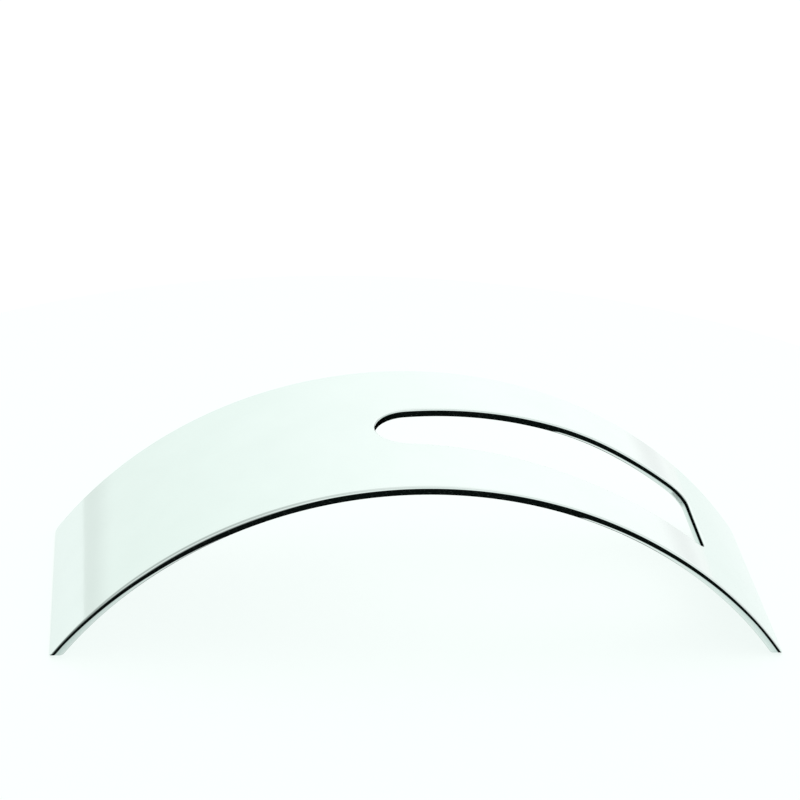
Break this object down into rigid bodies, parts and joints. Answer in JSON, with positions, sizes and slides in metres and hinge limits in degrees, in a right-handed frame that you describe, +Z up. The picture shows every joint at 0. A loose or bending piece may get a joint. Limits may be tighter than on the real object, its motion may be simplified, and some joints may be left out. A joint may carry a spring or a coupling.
{
  "type": "wine rack",
  "caption": "Arched polished-steel rack that holds a lying wine bottle in a slot cut through its curved top.",
  "frame": {"origin": "on the table, under the crown of the arch, midway across its width", "axes": "+X along the arch towards the end that the slot runs down to, +Y across the strip, +Z up"},
  "size_m": [0.2984, 0.107, 0.0775],
  "materials": {
    "polished_steel": "mirror-polished stainless steel"
  },
  "bodies": {
    "root": {"arched_plate": "polished_steel"}
  },
  "joints": []
}
